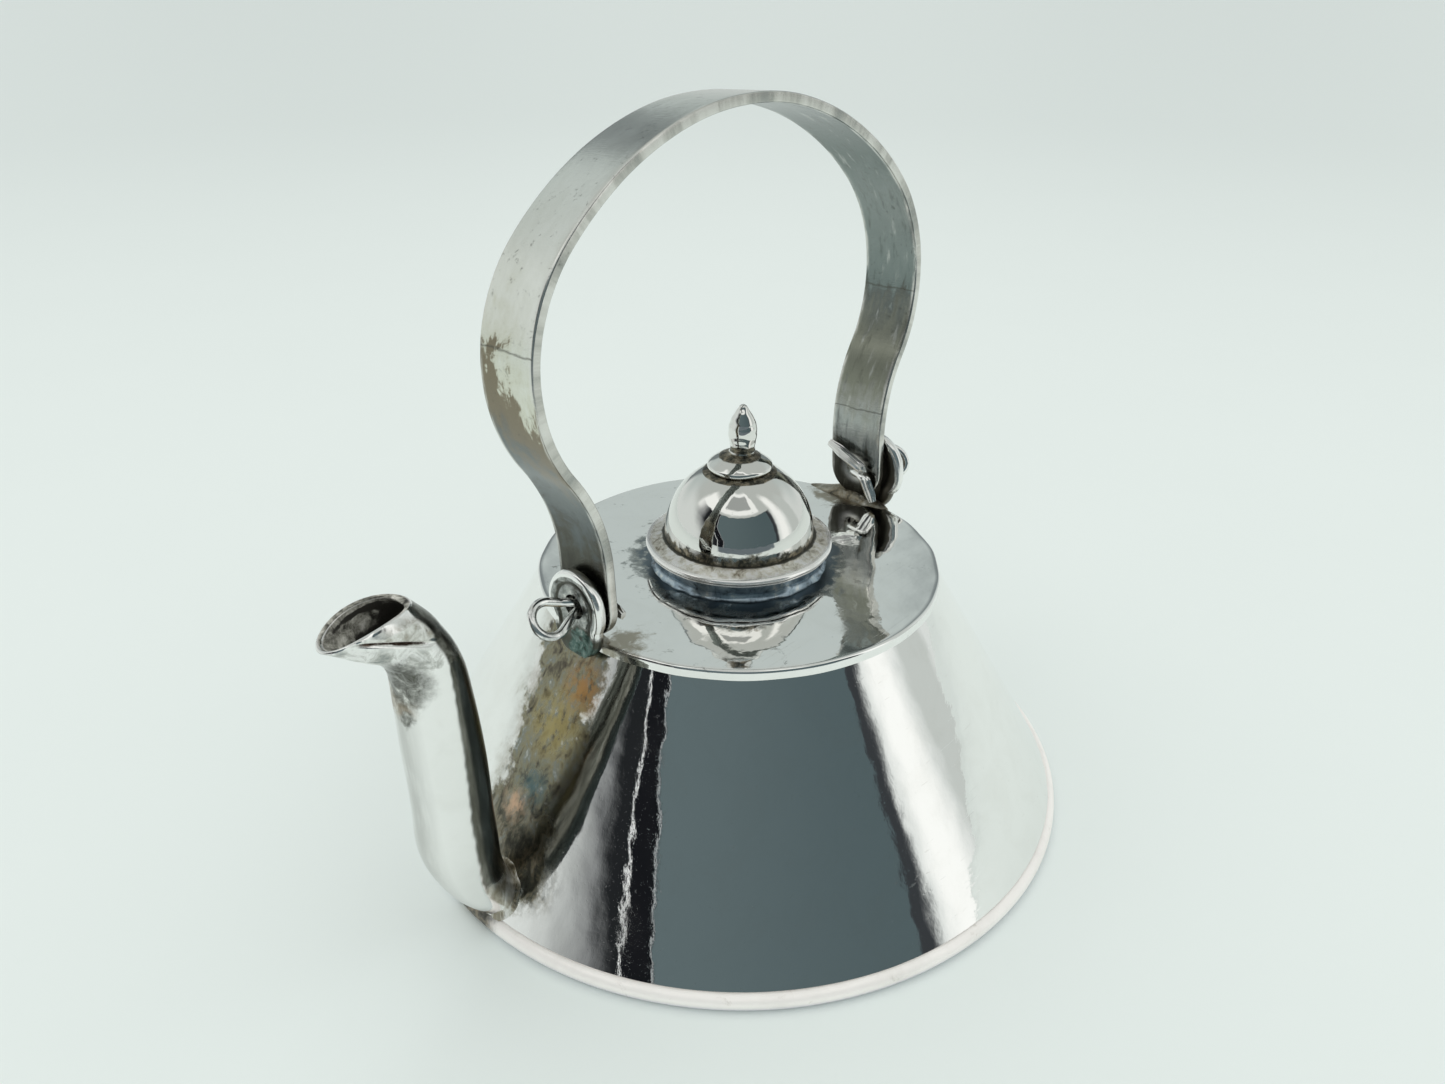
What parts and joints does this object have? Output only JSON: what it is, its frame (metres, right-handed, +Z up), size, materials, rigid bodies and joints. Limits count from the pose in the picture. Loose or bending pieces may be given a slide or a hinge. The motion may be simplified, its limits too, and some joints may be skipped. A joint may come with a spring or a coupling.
{
  "type": "miniature kettle",
  "caption": "Small hand-made silver kettle: cone body on a flat base, upright tube spout, lift-off domed lid with a bud finial and a swinging strap handle pinned to lugs.",
  "frame": {"origin": "centre of the base's flat underside, on the kettle's upright axis", "axes": "+Z up along the kettle's axis, -X towards the spout, the handle's pivot line along X"},
  "size_m": [0.0574, 0.05, 0.0503],
  "materials": {
    "polished_silver": "hand-polished silver with fine scratches and patches of tarnish",
    "strap_silver": "polished strip silver, tarnished towards both ends",
    "wire_silver": "bent half-polished silver wire",
    "solder": "grey silver solder, dull and tarnished"
  },
  "bodies": {
    "kettle": {"body_wall": "polished_silver", "base_pan": "polished_silver", "shoulder_plate": "polished_silver", "lid_collar": "polished_silver", "collar_solder": "solder", "spout_tube": "polished_silver", "spout_nose": "polished_silver", "spout_solder": "solder", "front_lug": "polished_silver", "front_lug_solder": "solder", "rear_lug": "polished_silver", "rear_lug_solder": "solder"},
    "handle": {"handle_strap": "strap_silver"},
    "lid": {"lid_bezel": "polished_silver", "lid_flange": "polished_silver", "lid_dome": "polished_silver", "lid_cap": "polished_silver", "lid_finial": "polished_silver"},
    "front_pin": {"front_pin": "wire_silver"},
    "rear_pin": {"rear_pin": "wire_silver"}
  },
  "joints": [
    {"name": "handle_swing", "type": "hinge", "parent": "kettle", "child": "handle", "pos_m": [0, 0, 0.021], "axis": [1, 0, 0], "range_deg": [-87, 92]},
    {"name": "lid_lift", "type": "slide", "parent": "kettle", "child": "lid", "axis": [0, 0, 1], "range_m": [0, 0.014]},
    {"name": "front_pin_turn", "type": "hinge", "parent": "kettle", "child": "front_pin", "pos_m": [-0.0154, 0, 0.021], "axis": [1, 0, 0], "range_deg": [-88, 6]},
    {"name": "rear_pin_turn", "type": "hinge", "parent": "kettle", "child": "rear_pin", "pos_m": [0.0154, 0, 0.021], "axis": [1, 0, 0], "range_deg": [-88, 6]}
  ]
}
